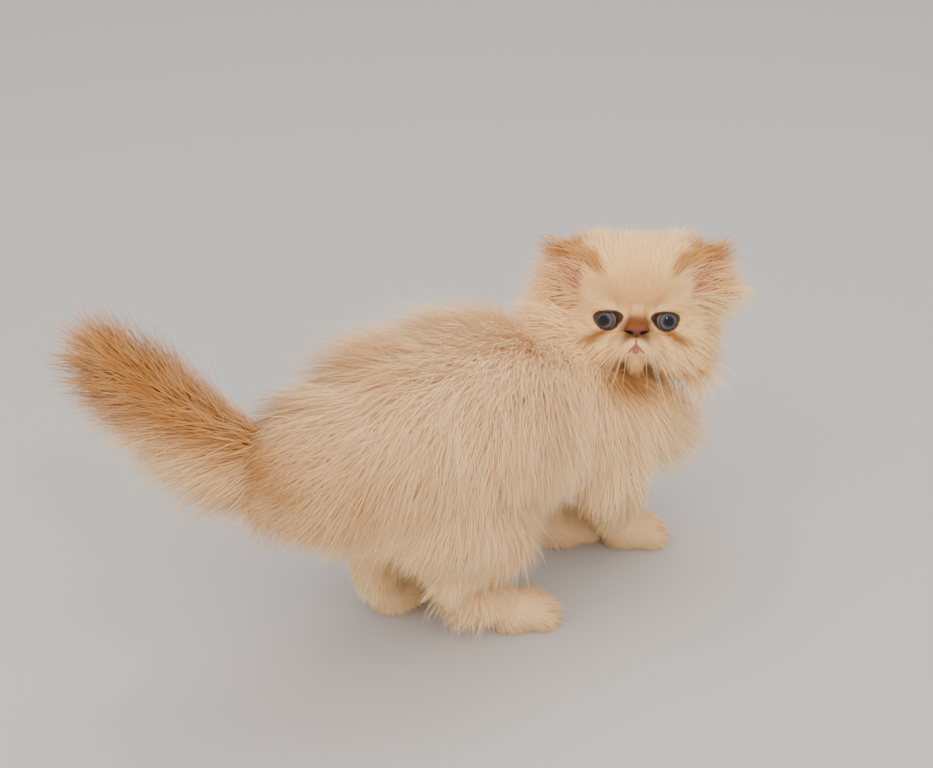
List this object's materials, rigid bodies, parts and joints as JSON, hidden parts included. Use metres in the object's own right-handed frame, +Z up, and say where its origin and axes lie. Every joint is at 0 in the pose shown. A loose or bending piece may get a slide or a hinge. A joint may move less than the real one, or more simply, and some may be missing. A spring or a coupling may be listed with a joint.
{
  "type": "persian kitten",
  "caption": "Long-haired Persian kitten standing on all fours, head turned back over its right shoulder, bushy tail raised to its left.",
  "frame": {"origin": "bottom centre of the bounding box, on the floor under the middle of the body", "axes": "+X the way the body heads, +Y to the kitten's left, +Z up"},
  "size_m": [0.342, 0.1508, 0.2007],
  "materials": {
    "coat": "long soft cream-white fur",
    "orange_coat": "long soft orange-cream fur",
    "nose": "moist bare skin, red-brown",
    "eye": "wet and glossy, grey-blue iris"
  },
  "bodies": {
    "root": {"trunk": "coat", "neck": "coat", "head": "coat", "muzzle": "coat", "nose": "nose", "eye_left": "eye", "eye_right": "eye", "ear_left": "orange_coat", "ear_right": "orange_coat", "tail_base": "coat", "tail_middle": "orange_coat", "tail_tip": "orange_coat", "leg_front_left": "coat", "leg_front_right": "coat", "leg_hind_left": "coat", "leg_hind_right": "coat", "paw_front_left": "coat", "paw_front_right": "coat", "paw_hind_left": "coat", "paw_hind_right": "coat"}
  },
  "joints": []
}
